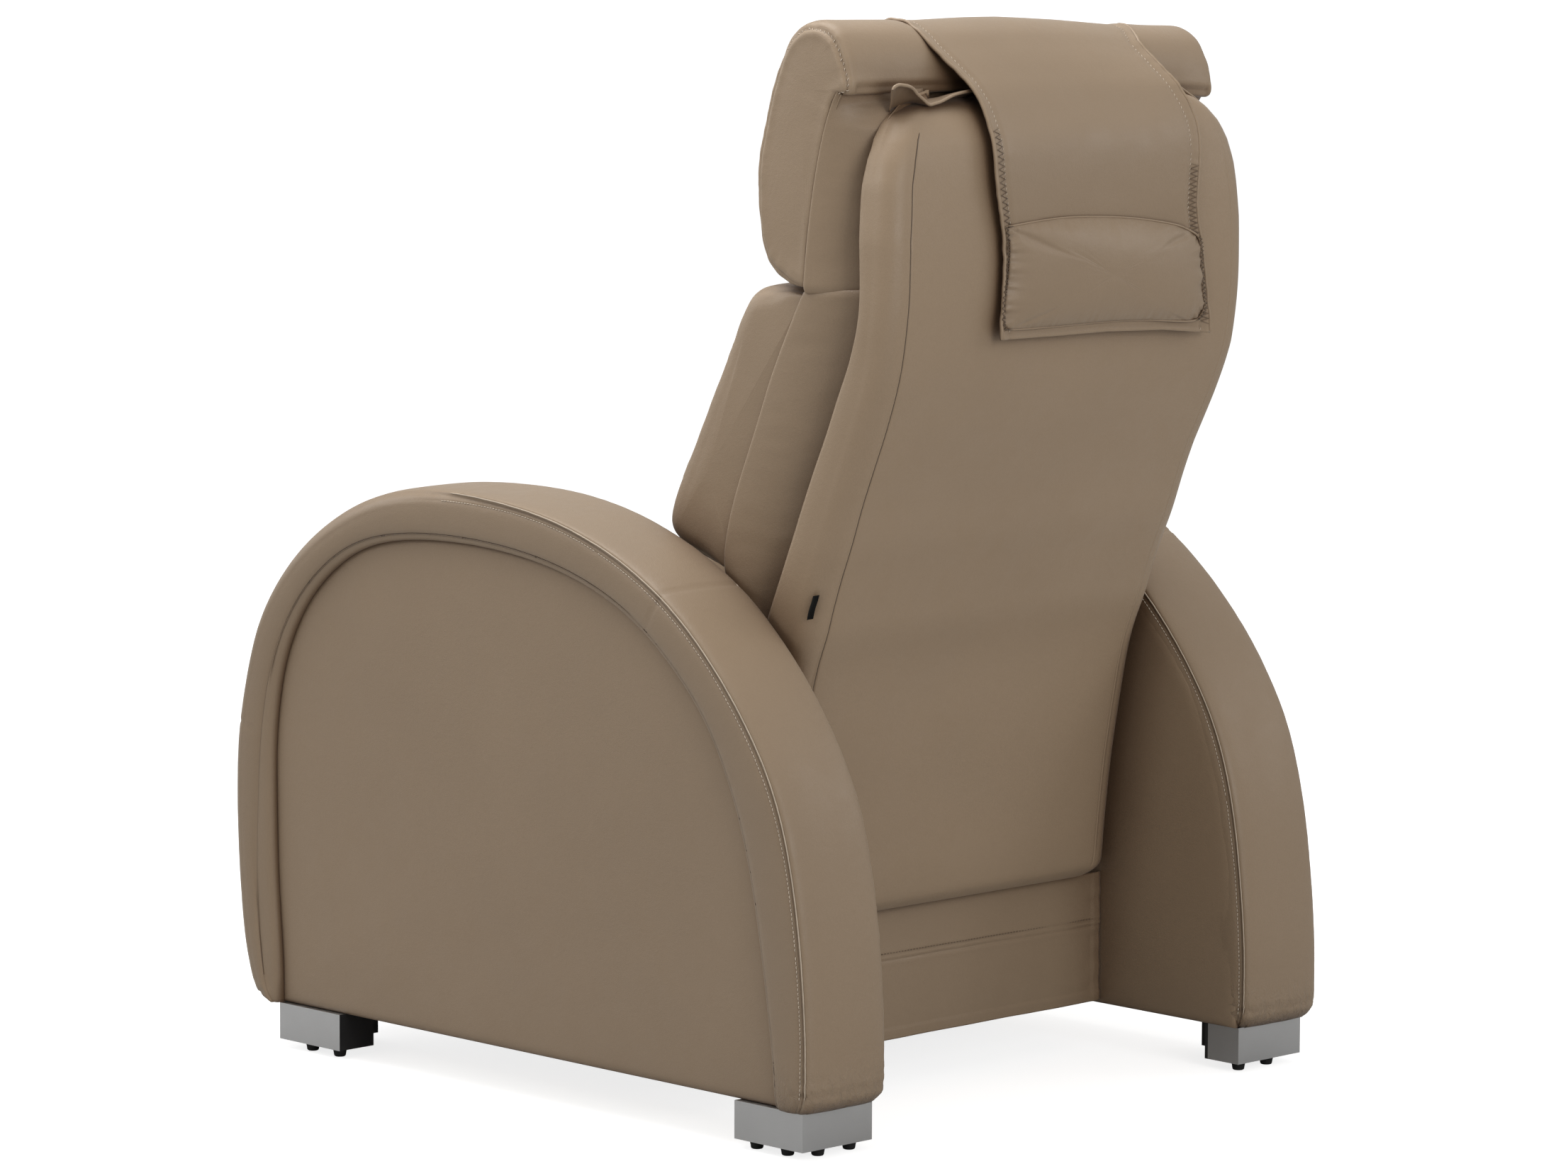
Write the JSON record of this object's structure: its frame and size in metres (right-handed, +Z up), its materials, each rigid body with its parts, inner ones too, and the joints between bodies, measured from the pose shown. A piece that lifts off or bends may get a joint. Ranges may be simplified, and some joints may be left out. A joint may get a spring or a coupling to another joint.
{
  "type": "massage chair",
  "caption": "Padded recliner with upholstered D-shaped arms on metal corner feet, a tilting back with a massage carriage inside, and a swing-up leg rest.",
  "frame": {"origin": "centre of the bounding box at floor level", "axes": "+Z up, the sitter faces -Y, +X is on the sitter's left-hand side"},
  "size_m": [0.796, 0.9546, 1.1817],
  "materials": {
    "leather": "satin taupe upholstery leather",
    "plywood": "raw",
    "foot_metal": "satin",
    "black_plastic": "matte",
    "stud_rubber": "matte",
    "bright_steel": "bright",
    "frame_steel": "semi-gloss paint",
    "spring_steel": "plain",
    "black_cloth": "non-woven",
    "label_fabric": "woven",
    "carriage_plastic": "moulded",
    "roller_plastic": "moulded",
    "button_plastic": "satin"
  },
  "bodies": {
    "root": {"left_arm_frame": "plywood", "right_arm_frame": "plywood", "left_arm_band": "leather", "right_arm_band": "leather", "left_outer_panel": "leather", "right_outer_panel": "leather", "left_inner_panel": "leather", "right_inner_panel": "leather", "left_base_board": "plywood", "right_base_board": "plywood", "front_left_foot": "foot_metal", "front_right_foot": "foot_metal", "rear_left_foot": "foot_metal", "rear_right_foot": "foot_metal", "foot_liners": "black_plastic", "foot_studs": "stud_rubber", "foot_bolts": "bright_steel", "seat_rails": "frame_steel", "cross_tubes": "frame_steel", "seat_springs": "spring_steel", "seat_cushion": "leather", "front_border": "leather", "dust_cover": "black_cloth", "recline_brackets": "frame_steel", "recline_pins": "bright_steel", "leg_brackets": "frame_steel", "leg_pins": "bright_steel", "recline_actuator": "black_plastic", "leg_actuator": "black_plastic", "control_box": "black_plastic", "power_inlet": "black_plastic", "control_panel": "black_plastic"},
    "recline_rod": {"recline_rod": "bright_steel"},
    "leg_rod": {"leg_rod": "bright_steel"},
    "leg_rest": {"leg_frame": "frame_steel", "leg_pad": "leather"},
    "backrest": {"back_frame": "frame_steel", "back_shell": "leather", "lumbar_covers": "leather", "head_covers": "leather", "lumbar_cushion": "leather", "head_cushion": "leather", "lower_back_pad": "leather", "neck_strap": "leather", "neck_pillow": "leather", "counterweight": "leather", "top_flap": "leather", "side_label": "label_fabric", "guide_rails": "bright_steel", "screw_motor": "black_plastic"},
    "lead_screw": {"lead_screw": "bright_steel"},
    "carriage": {"carriage": "carriage_plastic", "kneading_motor": "black_plastic"},
    "kneader": {"kneading_shaft": "bright_steel"},
    "left_roller": {"left_roller": "roller_plastic"},
    "right_roller": {"right_roller": "roller_plastic"},
    "rear_skirt": {"rear_skirt": "leather"},
    "power_button": {"power_button": "button_plastic"},
    "recline_button": {"recline_button": "button_plastic"},
    "leg_button": {"leg_button": "button_plastic"}
  },
  "joints": [
    {"name": "back_recline", "type": "hinge", "parent": "root", "child": "backrest", "pos_m": [0, 0.18417, 0.36], "axis": [-1, 0, 0], "range_deg": [0, 35]},
    {"name": "recline_rod_slide", "type": "slide", "parent": "root", "child": "recline_rod", "axis": [0, -1, 0], "range_m": [0, 0.0636]},
    {"name": "skirt_hang", "type": "hinge", "parent": "backrest", "child": "rear_skirt", "pos_m": [0, 0.22817, 0.2045], "axis": [-1, 0, 0], "range_deg": [-36, 0]},
    {"name": "leg_lift", "type": "hinge", "parent": "root", "child": "leg_rest", "pos_m": [0, -0.40583, 0.335], "axis": [-1, 0, 0], "range_deg": [0, 75]},
    {"name": "leg_rod_slide", "type": "slide", "parent": "root", "child": "leg_rod", "axis": [0, -1, 0], "range_m": [0, 0.0926]},
    {"name": "carriage_slide", "type": "slide", "parent": "backrest", "child": "carriage", "axis": [0, 0.36, 0.933], "range_m": [-0.02, 0.25]},
    {"name": "screw_turn", "type": "hinge", "parent": "backrest", "child": "lead_screw", "pos_m": [0, 0.18417, 0.36], "axis": [0, 0.36, 0.933], "range_deg": [-252, 3024]},
    {"name": "kneading_turn", "type": "hinge", "parent": "carriage", "child": "kneader", "pos_m": [0, 0.24824, 0.58716], "axis": [1, 0, 0], "continuous": true},
    {"name": "left_roller_turn", "type": "hinge", "parent": "kneader", "child": "left_roller", "pos_m": [0, 0.22772, 0.59508], "axis": [1, 0, 0], "continuous": true},
    {"name": "right_roller_turn", "type": "hinge", "parent": "kneader", "child": "right_roller", "pos_m": [0, 0.22772, 0.59508], "axis": [1, 0, 0], "continuous": true},
    {"name": "power_press", "type": "slide", "parent": "root", "child": "power_button", "axis": [1, 0, 0], "range_m": [0, 0.0015], "stiffness_N_per_m": 300, "springref_m": -0.0005},
    {"name": "recline_press", "type": "slide", "parent": "root", "child": "recline_button", "axis": [1, 0, 0], "range_m": [0, 0.0015], "stiffness_N_per_m": 300, "springref_m": -0.0005},
    {"name": "leg_press", "type": "slide", "parent": "root", "child": "leg_button", "axis": [1, 0, 0], "range_m": [0, 0.0015], "stiffness_N_per_m": 300, "springref_m": -0.0005}
  ],
  "couplings": [
    {"joint": "recline_rod_slide", "follows": "back_recline", "m_per_rad": 0.10323},
    {"joint": "skirt_hang", "follows": "back_recline", "ratio": -1},
    {"joint": "leg_rod_slide", "follows": "leg_lift", "m_per_rad": 0.070343},
    {"joint": "screw_turn", "follows": "carriage_slide", "rad_per_m": 209.44}
  ]
}
